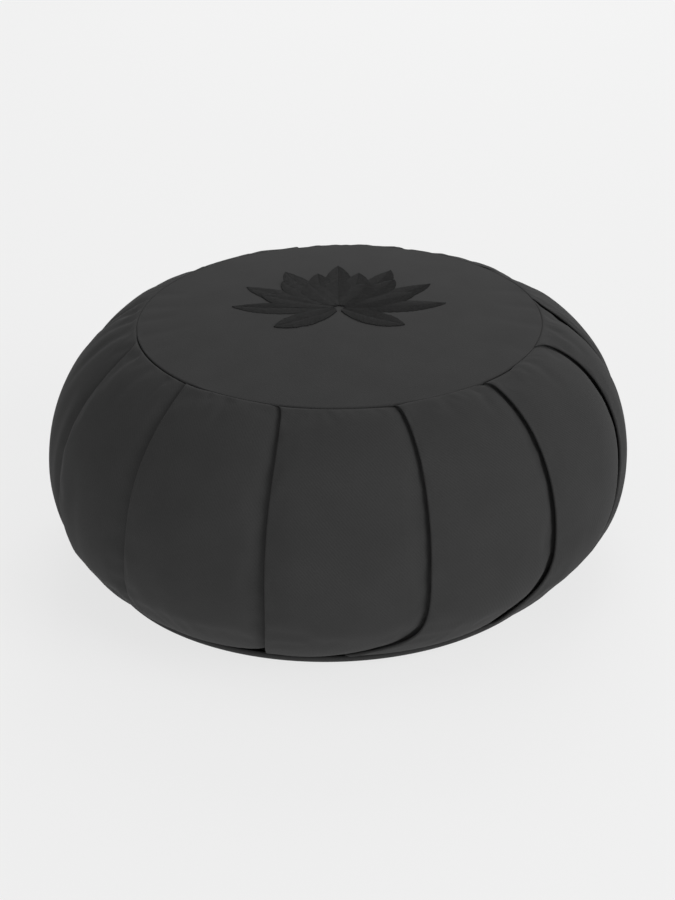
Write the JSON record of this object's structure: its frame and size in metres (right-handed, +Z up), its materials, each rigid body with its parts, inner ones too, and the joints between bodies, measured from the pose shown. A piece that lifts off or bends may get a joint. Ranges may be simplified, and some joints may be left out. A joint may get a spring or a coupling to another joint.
{
  "type": "zafu meditation cushion",
  "caption": "Round floor cushion with a crowned top panel and a full, knife-pleated side band over a flat base, for sitting cross-legged.",
  "frame": {"origin": "on the base panel's flat underside, under the middle of the cushion's belly", "axes": "+Z up through the cushion, its shortest side; -Y is the front, where the folds face left"},
  "size_m": [0.3595, 0.3593, 0.168],
  "materials": {
    "cotton_twill_band": "matte twill",
    "cotton_twill_top": "matte twill with tone-on-tone satin stitch",
    "cotton_twill_base": "matte twill"
  },
  "bodies": {
    "root": {"pleated_side_band": "cotton_twill_band", "top_panel": "cotton_twill_top", "base_panel": "cotton_twill_base"}
  },
  "joints": []
}
